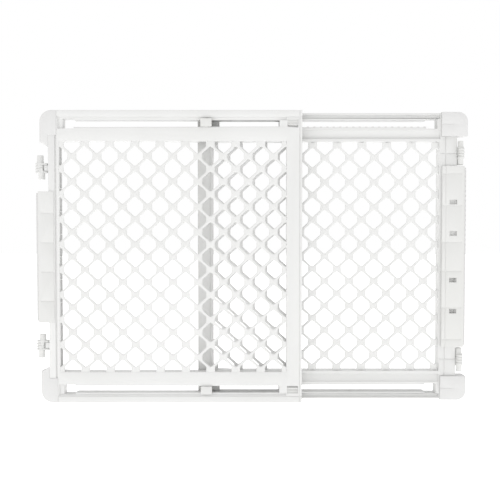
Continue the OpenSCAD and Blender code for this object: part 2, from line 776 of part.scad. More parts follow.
module rear_frame() {
    y = [rear_y0, rear_y1];
    back = [rear_y0 + wall_t, rear_y1 + cut];
    face = [rear_y0 - cut, rear_y0 + line_d];
    groove_z = rear_slot_z + slot_h + lip_h;
    band_z = rear_open_z + band_in;
    taper = groove_h / 7;
    sunk_x = [rear_slot_x[0], cap_x - wall_t];
    notch_line_x = rear_x1 - plate_in + plate_line_in;
    line_x = rear_open_x[0] - rear_line_in;
    pocket_x = [window_x[0], rear_x1 - wall_t];
    color(white) difference() {
        union() {
            block([rear_x0, rear_x1], y, [gate_h - rear_top, rear_top]);
            for (z = latch_zs) translate([rear_x1, rear_mid_y, 0]) lug(z);
        }
        for (z = latch_zs)
            hole_z(latch_pivot_x, rear_mid_y, [z - lug_h / 2 - cut, z + lug_h / 2 + cut], pivot_r);
        block(rear_open_x, [y[0] - cut, y[1] + cut], [gate_h - rear_open_z, rear_open_z]);
        both_ends() {
            slot(rear_slot_x, rear_slot_z, y, [rear_slot_x[1] - keyhole_w, rear_slot_x[1]]);
            // seat of the end cap
            block([cap_x, rear_x1 + cut], [y[0] - cut, y[1] + cut], [rear_stile_top, gate_h + cut]);
            for (x = [cap_x + spigot_in, rear_x1 - spigot_in])
                hole_z(x, rear_mid_y, [rear_stile_top - wall_t - cut, rear_stile_top + cut], spigot_r);
            // tapered groove between the bar's lips, and the rail's sloping band
            along(sunk_x) polygon([
                [y[0] - cut, groove_z - taper], [y[0], groove_z - taper],
                [y[0] + groove_d, groove_z + taper], [y[0] + groove_d, groove_z + groove_h - taper],
                [y[0], groove_z + groove_h + taper], [y[0] - cut, groove_z + groove_h + taper]
            ]);
            along(sunk_x) polygon([
                [y[0] - cut, band_z], [y[0] + band_d, band_z],
                [y[0] + band_shallow_d, band_z + band_h], [y[0] - cut, band_z + band_h]
            ]);
            // ribbed backs
            cells_x([rear_open_x[0] + wall_t, cap_x - wall_t], [y[0] + band_d + wall_t, y[1] + cut],
                [rear_open_z + wall_t, band_z + band_h - wall_t], 9);
            cells_z([rear_x0 + wall_t, rear_open_x[0] - wall_t], back,
                [mid_z + rib_t / 2, rear_open_z], 5);
            difference() {
                cells_z([rear_open_x[1] + wall_t, rear_x1 - wall_t], back,
                    [mid_z + rib_t / 2, rear_stile_top - wall_t], 6);
                // bosses for the pockets behind the end plate's windows
                for (z = window_zs) window(pocket_x, z, back, wall_t);
            }
            for (z = window_zs) window(pocket_x, z, [y[0] - cut, y[0] + window_d], 0);
            // holes for the end plate's screws, with room for their heads
            for (z = plate_screw_zs) {
                hole_x([rear_x1 - wall_t - cut, rear_x1 + cut], rear_mid_y, mid_z + z, screw_r);
                hole_x([rear_open_x[1] + wall_t, rear_x1 - wall_t], rear_mid_y, mid_z + z,
                    screw_head_r + screw_gap);
            }
            // line down the meeting stile
            block([line_x - line_w, line_x], face, [mid_z - cut, rear_slot_z]);
            // lines in the notch between the end cap and the end plate
            block([notch_line_x, notch_line_x + line_w / 2], face,
                [mid_z + plate_h / 2 - cut, rear_stile_top + cut]);
            block([rear_open_x[1] + wall_t, rear_x1 + cut], face,
                [latch_zs[0] - line_w / 3, latch_zs[0] + line_w / 3]);
        }
        lower_end() for (z = window_zs)
            window(pocket_x, z, [y[0] - cut, y[0] + lower_window_d], 0);
    }
}

module rear_lattice() {
    color(white) lattice(rear_open_x, [gate_h - rear_open_z, rear_open_z],
        rear_open_x[0] + lattice_edge, rear_y0 + rear_recess);
}

module right_cap() {
    x1 = rear_x1 + cap_out;
    z0 = gate_h - cap_h;
    y = [rear_y0 - cap_proud, rear_y1 + 1];
    seam_z = z0 + cap_h / 2;
    color(soft_white) {
        difference() {
            upright(y) difference() {
                translate([cap_x, z0]) square([x1 - cap_x, cap_h]);
                difference() {
                    translate([x1 - cap_r, gate_h - cap_r]) square([cap_r + cut, cap_r + cut]);
                    translate([x1 - cap_r, gate_h - cap_r]) circle(r = cap_r);
                }
            }
            // seam across the cap's face
            block([cap_x - cut, rear_x1 - seam_in], [y[0] - cut, y[0] + line_d / 2],
                [seam_z - seam_h / 2, seam_z + seam_h / 2]);
        }
        for (x = [cap_x + spigot_in, rear_x1 - spigot_in])
            hole_z(x, rear_mid_y, [z0 - spigot_len, z0], spigot_r);
    }
}

module right_cap_top() {
    right_cap();
}

module right_cap_bottom() {
    lower_end() right_cap();
}

module end_plate() {
    x = [rear_x1 - plate_in, rear_x1 + plate_out - strip_t];
    y = [rear_y0 - cap_proud, rear_y1];
    z = [mid_z - plate_h / 2, mid_z + plate_h / 2];
    inner_x = [rear_x1 + wall_t, x[1] - wall_t];
    inner_y = [rear_y0, rear_y1 + cut];
    color(white) difference() {
        union() {
            block(x, [y[0], rear_y0], z);
            block([rear_x1, x[1]], y, z);
        }
        cell_between(inner_x, inner_y, -plate_lines[0], plate_lines[0]);
        both_ends() {
            cell_between(inner_x, inner_y, plate_lines[0], plate_lines[1]);
            cell_between(inner_x, inner_y, plate_lines[1], plate_h / 2 - wall_t + rib_t / 2);
            for (line_z = plate_lines)
                block([x[0] - cut, x[1] - plate_line_end], [y[0] - cut, y[0] + line_d / 2],
                    [mid_z + line_z - line_w / 2, mid_z + line_z + line_w / 2]);
            for (screw_z = plate_screw_zs)
                hole_x([rear_x1 - cut, rear_x1 + wall_t + cut], rear_mid_y, mid_z + screw_z, screw_r);
            for (window_z = window_zs) window(window_x, window_z, [y[0] - cut, rear_y0 + cut], 0);
        }
        // line down the plate beside its inner edge
        translate([x[0] + plate_line_in, y[0], z[0]])
            block([0, line_w / 2], [-cut, line_d / 2], [-cut, plate_h + cut]);
    }
}

module end_plate_strip() {
    x1 = rear_x1 + plate_out;
    color(soft_white) block([x1 - strip_t, x1], [rear_y0 - strip_edge_in, rear_y1 - strip_edge_in],
        [mid_z - plate_h / 2 + strip_end_in, mid_z + plate_h / 2 - strip_end_in]);
}

module end_plate_screws() {
    color(steel) both_ends() for (z = plate_screw_zs)
        screw_x(rear_x1 - wall_t, rear_mid_y, mid_z + z, -1);
}

front_frame();
front_lattice();
left_bumper_top();
left_bumper_bottom();
left_pad();
left_pad_strip();
left_pad_screws();
front_hook_top();
front_hook_bottom();
hinge_pivot_top();
hinge_pivot_bottom();
hinge_fitting_top();
hinge_fitting_bottom();
width_lock_top();
width_lock_bottom();
rear_frame();
rear_lattice();
right_cap_top();
right_cap_bottom();
end_plate();
end_plate_strip();
end_plate_screws();
rear_hook_top();
rear_hook_bottom();
ratchet_strip_top();
ratchet_strip_bottom();
latch_pivot_top();
latch_pivot_bottom();
latch_fitting_top();
latch_fitting_bottom();
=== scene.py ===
# %% [markdown]
# # A sliding pet gate in moulded plastic
# The gate is two lattice panels that overlap and slide on hooks. The imported CAD model is the
# frame of this scene: it fixes every size and place. The pieces below give the mouldings their
# soft edges, the lattice its rounded strands and every surface a finish.

# %% Load the imported model
import math

import bmesh
import bpy
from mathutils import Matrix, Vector


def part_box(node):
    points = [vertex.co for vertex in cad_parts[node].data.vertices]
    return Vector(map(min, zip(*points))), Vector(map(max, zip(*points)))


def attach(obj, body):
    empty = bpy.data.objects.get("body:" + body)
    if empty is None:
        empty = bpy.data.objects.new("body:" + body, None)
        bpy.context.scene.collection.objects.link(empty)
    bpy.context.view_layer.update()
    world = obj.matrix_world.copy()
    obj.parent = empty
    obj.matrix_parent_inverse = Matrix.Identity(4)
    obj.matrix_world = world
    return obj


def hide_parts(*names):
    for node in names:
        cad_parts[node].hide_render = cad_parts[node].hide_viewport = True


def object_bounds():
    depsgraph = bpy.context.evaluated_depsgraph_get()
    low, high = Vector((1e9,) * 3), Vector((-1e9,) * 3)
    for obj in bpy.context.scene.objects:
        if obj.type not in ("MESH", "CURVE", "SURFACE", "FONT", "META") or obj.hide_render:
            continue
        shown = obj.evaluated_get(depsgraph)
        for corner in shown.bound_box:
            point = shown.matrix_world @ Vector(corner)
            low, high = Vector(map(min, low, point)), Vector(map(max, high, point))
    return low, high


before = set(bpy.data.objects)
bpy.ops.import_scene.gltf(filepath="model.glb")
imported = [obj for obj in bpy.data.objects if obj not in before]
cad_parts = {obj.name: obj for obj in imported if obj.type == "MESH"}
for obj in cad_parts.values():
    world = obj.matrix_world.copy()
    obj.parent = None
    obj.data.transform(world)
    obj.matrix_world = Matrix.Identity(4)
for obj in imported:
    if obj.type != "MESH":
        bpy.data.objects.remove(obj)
cad_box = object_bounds()
MM = 0.001
print("CAD box", [[round(v, 4) for v in corner] for corner in cad_box])

# %% [markdown]
# The gate is seen from in front, a little above its middle, through a lens of about 50 mm. The
# camera is tipped down slightly, and its height and distance are counted from the gate's own box.

# %% Camera
gate_low, gate_high = cad_box
gate_middle = (gate_low + gate_high) / 2
CAMERA_DISTANCE = 1.548
CAMERA_RISE = 0.0585
CAMERA_SHIFT_LEFT = 0.0052
CAMERA_TIP = math.radians(1.57)
CAMERA_LENS = 49.5
CAMERA_SENSOR = 36

front_face_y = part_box("front_frame")[0].y
camera = bpy.data.objects.new("camera", bpy.data.cameras.new("camera"))
bpy.context.scene.collection.objects.link(camera)
camera.location = (
    gate_middle.x - CAMERA_SHIFT_LEFT,
    front_face_y - CAMERA_DISTANCE,
    gate_middle.z + CAMERA_RISE,
)
camera.rotation_euler = (math.pi / 2 - CAMERA_TIP, 0, 0)
camera.data.lens = CAMERA_LENS
camera.data.sensor_width = CAMERA_SENSOR
bpy.context.scene.camera = camera
print("camera at", tuple(round(v, 3) for v in camera.location))

# %% [markdown]
# White plastic on white needs light that wraps round it: a bright room on all sides, a glowing pale
# floor like a product table, and a weak lamp low on the left. Faces that look down or at the camera
# are then the brightest, and only ledges, creases and far walls turn grey.

# %% Light and floor
ROOM_STRENGTH = 1.0
LAMP_AT = (-1.5, -2.2, 0.1)
LAMP_POWER = 0.12
LAMP_SOFTNESS = math.radians(50)
FLOOR_SIZE = 14
FLOOR_BEHIND = 3

scene = bpy.context.scene
scene.view_settings.view_transform = "Standard"
room = bpy.data.worlds.new("white_room")
room.use_nodes = True
room.node_tree.nodes["Background"].inputs["Color"].default_value = (1, 1, 1, 1)
room.node_tree.nodes["Background"].inputs["Strength"].default_value = ROOM_STRENGTH
scene.world = room


def far_lamp(name, place, power, softness):
    """A distant soft lamp that shines from a place towards the middle of the gate."""
    lamp = bpy.data.objects.new(name, bpy.data.lights.new(name, "SUN"))
    lamp.data.energy = power
    lamp.data.angle = softness
    lamp.location = place
    lamp.rotation_euler = (gate_middle - Vector(place)).to_track_quat("-Z", "Y").to_euler()
    scene.collection.objects.link(lamp)


far_lamp("lamp_low_left", LAMP_AT, LAMP_POWER, LAMP_SOFTNESS)
bpy.ops.mesh.primitive_plane_add(size=FLOOR_SIZE, location=(0, FLOOR_BEHIND, gate_low.z))
floor = bpy.context.object
floor.name = "floor"
print("one weak lamp, a white room and a floor")

# %% [markdown]
# A finish is a small network of shader nodes. Written as Python expressions it reads like
# arithmetic: `Signal` wraps a socket and turns + - * / into Math nodes, and `Finish` adds every
# other node.

# %% Shader arithmetic
class Signal:
    """The output of a shader node, with arithmetic that adds Math nodes."""

    def __init__(self, finish, socket):
        self.finish = finish
        self.socket = socket

    def maths(self, operation, first, second):
        return self.finish.node("ShaderNodeMath", {"operation": operation}, {0: first, 1: second})

    def __add__(self, other):
        return self.maths("ADD", self, other)

    def __sub__(self, other):
        return self.maths("SUBTRACT", self, other)

    def __rsub__(self, other):
        return self.maths("SUBTRACT", other, self)

    def __mul__(self, other):
        return self.maths("MULTIPLY", self, other)

    __radd__ = __add__
    __rmul__ = __mul__


class Finish:
    """A procedural material that reads the piece's own object coordinates."""

    def __init__(self, name):
        self.material = bpy.data.materials.new(name)
        self.material.use_nodes = True
        self.tree = self.material.node_tree
        self.shader = self.tree.nodes["Principled BSDF"]
        self.place = self.node("ShaderNodeTexCoord", output="Object")

    def node(self, kind, settings=None, inputs=None, output=0):
        """Adds one node: its settings first, then the values or links of its sockets."""
        made = self.tree.nodes.new(kind)
        for key, value in (settings or {}).items():
            setattr(made, key, value)
        for key, value in (inputs or {}).items():
            if isinstance(value, Signal):
                self.tree.links.new(value.socket, made.inputs[key])
            else:
                made.inputs[key].default_value = value
        return Signal(self, made.outputs[output])

    def noise(self, scale, detail=2.0, roughness=0.5, stretch=(1, 1, 1)):
        """Noise of about `scale` grains a metre, stretched along the axes."""
        placed = self.node("ShaderNodeMapping", {}, {"Vector": self.place, "Scale": stretch})
        return self.node("ShaderNodeTexNoise", {},
                         {"Vector": placed, "Scale": scale, "Detail": detail,
                          "Roughness": roughness})

    def window(self, value, low, high):
        """0 below low, 1 above high and smooth between."""
        return self.node("ShaderNodeMapRange", {"interpolation_type": "SMOOTHSTEP"},
                         {"Value": value, "From Min": low, "From Max": high})

    def blend(self, amount, first, second):
        """A colour between two colours."""
        mix = self.tree.nodes.new("ShaderNodeMix")
        mix.data_type = "RGBA"
        factor, colour_a, colour_b = mix.inputs[0], mix.inputs[6], mix.inputs[7]
        for socket, value in ((factor, amount), (colour_a, first), (colour_b, second)):
            if isinstance(value, Signal):
                self.tree.links.new(value.socket, socket)
            else:
                socket.default_value = value
        return Signal(self, mix.outputs[2])

    def bump(self, height, distance):
        """A surface normal raised by height."""
        return self.node("ShaderNodeBump", {},
                         {"Height": height, "Distance": distance, "Strength": 1.0})

    def feed(self, **signals):
        """Links signals to, or sets constants on, the shader's sockets."""
        for key, value in signals.items():
            socket = self.shader.inputs[key.replace("_", " ").title()]
            if isinstance(value, Signal):
                self.tree.links.new(value.socket, socket)
            else:
                socket.default_value = value


print("shader helpers ready")

# %% [markdown]
# Injection-moulded polypropylene is never quite even: the tool leaves a fine spark-eroded grain,
# the melt leaves faint flow marks, and handling rubs the edges shinier. Each is a small amount of
# noise that moves the colour, the roughness and the bump together.

# %% Moulded plastic
GRAIN_SCALE = 1500
FLOW_SCALE = 7
SMEAR_SCALE = 60
SCUFF_SCALE = 25
GRAIN_DEPTH = 0.06 * MM
SCUFF_DARKER = 0.93
PLASTIC_IOR = 1.49


def moulded_plastic(name, colour, shade, rough):
    """Satin white plastic with spark grain, flow marks and rubbed edges."""
    made = Finish(name)
    grain = made.noise(GRAIN_SCALE, detail=3.0, roughness=0.6)
    flow = made.noise(FLOW_SCALE, detail=2.0, roughness=0.5, stretch=(1, 1, 0.35))
    smear = made.noise(SMEAR_SCALE, detail=4.0, roughness=0.65, stretch=(1, 1, 4))
    rubbing = made.noise(SCUFF_SCALE, detail=6.0, roughness=0.75, stretch=(1, 1, 6))
    scuffs = made.window(rubbing, low=0.66, high=0.74)
    pointiness = made.node("ShaderNodeNewGeometry", output="Pointiness")
    edge = made.window(pointiness, low=0.52, high=0.62)
    tone = made.blend(made.window(flow, low=0.35, high=0.65), colour, shade)
    scuffed = tuple(channel * SCUFF_DARKER for channel in shade[:3]) + (1,)
    made.feed(
        base_color=made.blend(scuffs * 0.25, tone, scuffed),
        roughness=rough + smear * 0.16 - edge * 0.1 + scuffs * 0.12,
        normal=made.bump(grain * 0.6 + smear * 0.4, GRAIN_DEPTH),
    )
    made.shader.inputs["IOR"].default_value = PLASTIC_IOR
    print("finish", name)
    return made.material


white_plastic = moulded_plastic(
    "white_plastic",
    colour=(0.69, 0.69, 0.683, 1),
    shade=(0.67, 0.67, 0.66, 1),
    rough=0.34,
)
# The rear frame's finish is the front white made a little darker: painted shade for the panel that
# stands behind the other.
shaded_rear_plastic = moulded_plastic(
    "shaded_rear_plastic",
    colour=(0.66, 0.66, 0.652, 1),
    shade=(0.645, 0.645, 0.635, 1),
    rough=0.36,
)
lattice_plastic = moulded_plastic(
    "lattice_plastic",
    colour=(0.69, 0.69, 0.683, 1),
    shade=(0.67, 0.67, 0.66, 1),
    rough=0.32,
)
hardware_plastic = moulded_plastic(
    "hardware_plastic",
    colour=(0.655, 0.655, 0.645, 1),
    shade=(0.64, 0.64, 0.625, 1),
    rough=0.42,
)

# %% [markdown]
# The bumpers and strips that touch the wall are a softer vinyl. It is duller than the panels,
# faintly warmer, and pebbled so that it grips; Voronoi cells make the pebbles.

# %% Soft vinyl
PEBBLE_SCALE = 700.0
PEBBLE_DEPTH = 0.08 * MM
DIRT_SCALE = 18
CLEAN_VINYL = (0.65, 0.648, 0.643, 1)
DIRTY_VINYL = (0.605, 0.602, 0.593, 1)


def soft_vinyl():
    """Dull vinyl with a pebbled skin that picks up a little dirt."""
    made = Finish("soft_vinyl")
    pebbles = made.node("ShaderNodeTexVoronoi", {"feature": "SMOOTH_F1"},
                        {"Vector": made.place, "Scale": PEBBLE_SCALE, "Smoothness": 0.6})
    dirt = made.window(made.noise(DIRT_SCALE, detail=5.0, roughness=0.7), low=0.5, high=0.75)
    made.feed(
        base_color=made.blend(dirt * 0.35, CLEAN_VINYL, DIRTY_VINYL),
        roughness=0.55 + dirt * 0.15 + pebbles * 0.1,
        normal=made.bump(pebbles, PEBBLE_DEPTH),
    )
    print("finish soft_vinyl")
    return made.material


vinyl = soft_vinyl()

# %% [markdown]
# Screws and pins are zinc-plated steel: a metal with fine turning lines and dull spots where the
# plating has gone grey. The floor has a plain pale paint that glows a little.

# %% Plated steel and the floor's paint
TURNING_SCALE = 900
TURNING_DEPTH = 0.03 * MM
SPOT_SCALE = 240
BRIGHT_ZINC = (0.74, 0.75, 0.77, 1)
GREY_ZINC = (0.55, 0.56, 0.57, 1)
FLOOR_PAINT = (0.95, 0.95, 0.95, 1)
FLOOR_GLOW = 0.65


def plated_steel():
    """Zinc plate with turning lines and grey spots."""
    made = Finish("plated_steel")
    lines = made.noise(TURNING_SCALE, detail=2.0, roughness=0.5, stretch=(0.1, 1, 1))
    spots = made.window(made.noise(SPOT_SCALE, detail=4.0, roughness=0.7), low=0.52, high=0.66)
    made.feed(
        base_color=made.blend(spots, BRIGHT_ZINC, GREY_ZINC),
        metallic=1.0 - spots * 0.25,
        roughness=0.26 + spots * 0.25 + lines * 0.1,
        normal=made.bump(lines, TURNING_DEPTH),
    )
    print("finish plated_steel")
    return made.material


steel = plated_steel()
pale_floor = bpy.data.materials.new("pale_floor")
pale_floor.use_nodes = True
paint = pale_floor.node_tree.nodes["Principled BSDF"]
paint.inputs["Base Color"].default_value = FLOOR_PAINT
paint.inputs["Roughness"].default_value = 0.9
paint.inputs["Emission Color"].default_value = (1, 1, 1, 1)
paint.inputs["Emission Strength"].default_value = FLOOR_GLOW
floor.data.materials.append(pale_floor)

# %% [markdown]
# Every new piece is modelled the same way: a primitive at its size and place, edit mode to shape
# it, and modifiers applied at the end. These helpers do the parts that repeat. Operators act on
# whatever is selected, so each helper clears the selection before it picks its own faces or
# edges.

# %% Modelling helpers
CLOSE = MM / 20
SMOOTH_BELOW = math.radians(50)


def only(piece):
    """Selects one object and nothing else."""
    bpy.ops.object.select_all(action="DESELECT")
    piece.select_set(True)
    bpy.context.view_layer.objects.active = piece


def add_block(name, low, high):
    """A cube stretched from one corner to the other, with its place in its mesh."""
    bpy.ops.object.select_all(action="DESELECT")
    low, high = Vector(low), Vector(high)
    bpy.ops.mesh.primitive_cube_add(size=1, location=(low + high) / 2, scale=high - low)
    bpy.ops.object.transform_apply(location=True, rotation=True, scale=True)
    piece = bpy.context.object
    piece.name = name
    return piece


def edit(piece, kind="FACE"):
    """Enters edit mode with nothing selected."""
    only(piece)
    bpy.ops.object.mode_set(mode="EDIT")
    bpy.ops.mesh.select_mode(type=kind)
    bpy.ops.mesh.select_all(action="DESELECT")


def pick(piece, kind, test):
    """In edit mode, selects just the faces, edges or vertices that pass a test."""
    bpy.ops.mesh.select_mode(type=kind)
    bpy.ops.mesh.select_all(action="DESELECT")
    mesh = bmesh.from_edit_mesh(piece.data)
    mesh.normal_update()
    parts = {"FACE": mesh.faces, "EDGE": mesh.edges, "VERT": mesh.verts}[kind]
    found = [part for part in parts if test(part)]
    for part in found:
        part.select_set(True)
    bmesh.update_edit_mesh(piece.data)
    return len(found)


def leave():
    """Leaves edit mode."""
    bpy.ops.object.mode_set(mode="OBJECT")


def middle_of(edge):
    """The point halfway along an edge."""
    return (edge.verts[0].co + edge.verts[1].co) / 2


def bisect_keep(piece, point, normal):
    """Cuts the whole piece by a plane and keeps the side that the normal points away from."""
    edit(piece)
    bpy.ops.mesh.select_all(action="SELECT")
    bpy.ops.mesh.bisect(plane_co=point, plane_no=normal, clear_outer=True)
    leave()


def round_edges(piece, width, segments=2, angle=35):
    """Bevels every edge sharper than an angle, and smooths the shading over the bevels."""
    only(piece)
    bevel = piece.modifiers.new("round", "BEVEL")
    bevel.width = width
    bevel.segments = segments
    bevel.limit_method = "ANGLE"
    bevel.angle_limit = math.radians(angle)
    bevel.use_clamp_overlap = False
    bevel.miter_outer = "MITER_ARC"
    bpy.ops.object.modifier_apply(modifier=bevel.name)
    bpy.ops.object.shade_smooth_by_angle(angle=SMOOTH_BELOW)


def near(value, target):
    """Whether two coordinates are the same place."""
    return abs(value - target) < CLOSE


def copy_of(piece, name):
    """A copy of a piece with a mesh of its own."""
    other = bpy.data.objects.new(name, piece.data.copy())
    scene.collection.objects.link(other)
    return other


def turned_over(piece, name):
    """A copy of a piece mirrored about the gate's middle height."""
    other = copy_of(piece, name)
    edit(other)
    bpy.ops.mesh.select_all(action="SELECT")
    bpy.ops.transform.mirror(constraint_axis=(False, False, True), center_override=gate_middle)
    bpy.ops.mesh.normals_make_consistent(inside=False)
    leave()
    return other


def finish_piece(piece, material, body, node=None):
    """Gives a piece its finish and its body, and hides the CAD node that it stands for."""
    piece.data.materials.clear()
    piece.data.materials.append(material)
    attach(piece, body)
    if node:
        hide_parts(node)
    triangles = sum(len(face.vertices) - 2 for face in piece.data.polygons)
    print(f"{piece.name}: {triangles} triangles on {body}")


print("modelling helpers ready")

# %% [markdown]
# The frames, hooks, pad, plate, locks and ratchet strips are ribbed mouldings whose shape the CAD
# holds exactly. A real mould has no knife edges, so each is copied, its loose triangles are welded,
# and every corner gets the small radius that a mould maker mills. Remodelling them by hand would
# only repeat the same cuts.

# %% Mouldings with softened corners
LEDGE_DROP = 38 * MM
LEDGE_CHAMFER = 1.5 * MM
WELD_WITHIN = MM / 50


def chamfer_ledge(piece):
    """Bevels the front edge of the rail under the upper slot."""
    low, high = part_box("front_frame")
    edit(piece)
    ledge_z = high.z - LEDGE_DROP
    count = pick(piece, "EDGE", lambda e: all(
        near(v.co.z, ledge_z) and near(v.co.y, low.y) for v in e.verts))
    bpy.ops.mesh.bevel(offset=LEDGE_CHAMFER, segments=1, affect="EDGES")
    leave()
    print("ledge edges", count)


def softened(node, radius, segments=2):
    """A welded copy of a CAD node with rounded corners."""
    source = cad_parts[node]
    piece = bpy.data.objects.new(node + "_moulded", source.data.copy())
    scene.collection.objects.link(piece)
    edit(piece, "VERT")
    bpy.ops.mesh.select_all(action="SELECT")
    bpy.ops.mesh.remove_doubles(threshold=WELD_WITHIN)
    leave()
    if node == "front_frame":
        chamfer_ledge(piece)
    round_edges(piece, radius, segments)
    return piece


# Each node has its radius in mm, its segments, its finish and its body.
MOULDINGS = {
    "front_frame": (0.5, 2, white_plastic, "front"),
    # The rear frame takes the darker white, which paints shade on the rear panel.
    "rear_frame": (0.5, 2, shaded_rear_plastic, "rear"),
    "left_pad": (0.25, 2, hardware_plastic, "front"),
    "end_plate": (0.25, 2, hardware_plastic, "rear"),
    "front_hook_top": (0.7, 2, hardware_plastic, "front"),
    "front_hook_bottom": (0.7, 2, hardware_plastic, "front"),
    "rear_hook_top": (0.7, 2, hardware_plastic, "rear"),
    "rear_hook_bottom": (0.7, 2, hardware_plastic, "rear"),
    "width_lock_top": (0.3, 2, hardware_plastic, "width_lock_top"),
    "width_lock_bottom": (0.3, 2, hardware_plastic, "width_lock_bottom"),
    "ratchet_strip_top": (0.3, 1, hardware_plastic, "rear"),
    "ratchet_strip_bottom": (0.3, 1, hardware_plastic, "rear"),
}
for node, (radius, segments, material, body) in MOULDINGS.items():
    finish_piece(softened(node, radius * MM, segments), material, body, node)

# %% [markdown]
# The lattice is one opening repeated. The opening starts as a six-sided circle whose corners are
# moved to a blunt-sided diamond and rounded with vertex bevels. A subdivided diamond round it has
# as many vertices, so bridging the two loops gives one clean tile of quads. Tiles in two
# interleaved grids weld into a sheet, which is cut to the frame's window, extruded and bevelled.

# %% One lattice tile
PITCH = 56.7 * MM
OPENING_W = 37 * MM
OPENING_H = 46 * MM
BLUNT_H = 13 * MM
CORNER = 4.5 * MM
SIDE_STEPS = 2
TIP_STEPS = 5
slope = math.atan(OPENING_W / (OPENING_H - BLUNT_H))


def lattice_tile(name, y):
    """A diamond of sheet round one opening, centred on X = Z = 0 and facing -Y."""
    bpy.ops.object.select_all(action="DESELECT")
    bpy.ops.mesh.primitive_circle_add(vertices=6, radius=OPENING_H / 2, location=(0, y, 0),
                                      rotation=(math.pi / 2, 0, 0), fill_type="NOTHING")
    bpy.ops.object.transform_apply(location=True, rotation=True, scale=True)
    tile = bpy.context.object
    tile.name = name
    edit(tile, "VERT")
    for side_x in (-1, 1):
        for side_z in (-1, 1):
            pick(tile, "VERT", lambda v: v.co.x * side_x > MM and v.co.z * side_z > MM)
            corner = next(v.co for v in bmesh.from_edit_mesh(tile.data).verts if v.select)
            bpy.ops.transform.translate(value=(side_x * OPENING_W / 2 - corner.x, 0,
                                               side_z * BLUNT_H / 2 - corner.z))
    pick(tile, "VERT", lambda v: abs(v.co.x) > MM)
    bpy.ops.mesh.bevel(offset=CORNER * math.tan(slope / 2), affect="VERTICES", segments=SIDE_STEPS)
    pick(tile, "VERT", lambda v: abs(v.co.x) < MM / 10)
    bpy.ops.mesh.bevel(offset=CORNER / math.tan(slope), affect="VERTICES", segments=TIP_STEPS)
    leave()
    inner_count = len(tile.data.vertices)
    bpy.ops.object.select_all(action="DESELECT")
    bpy.ops.mesh.primitive_circle_add(vertices=4, radius=PITCH / 2, location=(0, y, 0),
                                      rotation=(math.pi / 2, 0, 0), fill_type="NOTHING")
    bpy.ops.object.transform_apply(location=True, rotation=True, scale=True)
    border = bpy.context.object
    edit(border, "EDGE")
    bpy.ops.mesh.select_all(action="SELECT")
    bpy.ops.mesh.subdivide(number_cuts=inner_count // 4 - 1)
    leave()
    only(tile)
    border.select_set(True)
    bpy.ops.object.join()
    edit(tile, "EDGE")
    bpy.ops.mesh.select_all(action="SELECT")
    bpy.ops.mesh.bridge_edge_loops()
    leave()
    print(name, inner_count, "corners round the opening,", len(tile.data.polygons), "faces")
    return tile


# %% [markdown]
# Both panels use the same tile. Each sheet's columns are counted from the end that overlaps the
# other panel, and its rows from the middle height. The sheet is cut a little outside the frame's
# window, so that its rim is buried in the frame.

# %% The two lattices
LATTICE_T = 5.6 * MM
LATTICE_TUCK = 1.2 * MM
LATTICE_EDGE = 1.3 * MM
STRAND_R = 0.9 * MM


def lattice(node, body, first_x, way, y):
    """A sheet of tiles cut to a CAD lattice's box, with its columns counted from first_x."""
    low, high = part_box(node)
    middle_z = (low.z + high.z) / 2
    columns = math.ceil((high.x - low.x) / PITCH) + 1
    rows = math.ceil((high.z - low.z) / 2 / PITCH) + 1
    sheet = None
    for shift in (0, PITCH / 2):
        tile = lattice_tile(node + "_tile", y)
        edit(tile)
        bpy.ops.mesh.select_all(action="SELECT")
        first = (first_x + shift * way, 0, middle_z - rows * PITCH + shift)
        bpy.ops.transform.translate(value=first)
        leave()
        for step, count in (((PITCH * way, 0, 0), columns), ((0, 0, PITCH), 2 * rows + 1)):
            array = tile.modifiers.new("grid", "ARRAY")
            array.count = count
            array.use_relative_offset = False
            array.use_constant_offset = True
            array.constant_offset_displace = step
            only(tile)
            bpy.ops.object.modifier_apply(modifier=array.name)
        if sheet:
            only(sheet)
            tile.select_set(True)
            bpy.ops.object.join()
        else:
            sheet = tile
    sheet.name = node + "_strands"
    edit(sheet, "VERT")
    bpy.ops.mesh.select_all(action="SELECT")
    bpy.ops.mesh.remove_doubles(threshold=WELD_WITHIN)
    leave()
    bisect_keep(sheet, (low.x - LATTICE_TUCK, 0, 0), (-1, 0, 0))
    bisect_keep(sheet, (high.x + LATTICE_TUCK, 0, 0), (1, 0, 0))
    bisect_keep(sheet, (0, 0, low.z - LATTICE_TUCK), (0, 0, -1))
    bisect_keep(sheet, (0, 0, high.z + LATTICE_TUCK), (0, 0, 1))
    edit(sheet)
    bpy.ops.mesh.select_all(action="SELECT")
    bpy.ops.mesh.extrude_region_move(TRANSFORM_OT_translate={"value": (0, LATTICE_T, 0)})
    bpy.ops.mesh.select_all(action="SELECT")
    bpy.ops.mesh.normals_make_consistent(inside=False)
    leave()
    round_edges(sheet, STRAND_R, angle=50)
    finish_piece(sheet, lattice_plastic, body, node)


front_low, front_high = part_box("front_lattice")
rear_low, rear_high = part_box("rear_lattice")
lattice("front_lattice", "front", front_high.x - LATTICE_EDGE, -1, front_high.y - LATTICE_T)
lattice("rear_lattice", "rear", rear_low.x + LATTICE_EDGE, 1, rear_low.y)

# %% [markdown]
# The corner bumpers are soft vinyl blocks that wrap the frame's outer corners. Each starts as a
# block above the stile; its outer part is extruded past the stile, the inner end of that is
# pulled on to make the slope, and the outer corner is rolled over with a wide bevel. The far
# bumper is the same shape turned over, so heights are measured from the gate's end.

# %% Corner bumpers
BUMPER_OUT = 19 * MM
BUMPER_IN = 19 * MM
BUMPER_H = 73 * MM
BUMPER_STEP = 56 * MM
SLOPE_W = 14 * MM
SLOPE_H = 10 * MM
BUMPER_R = 27 * MM
BUMPER_EDGE_R = 1.6 * MM
CORNER_SEGMENTS = 12


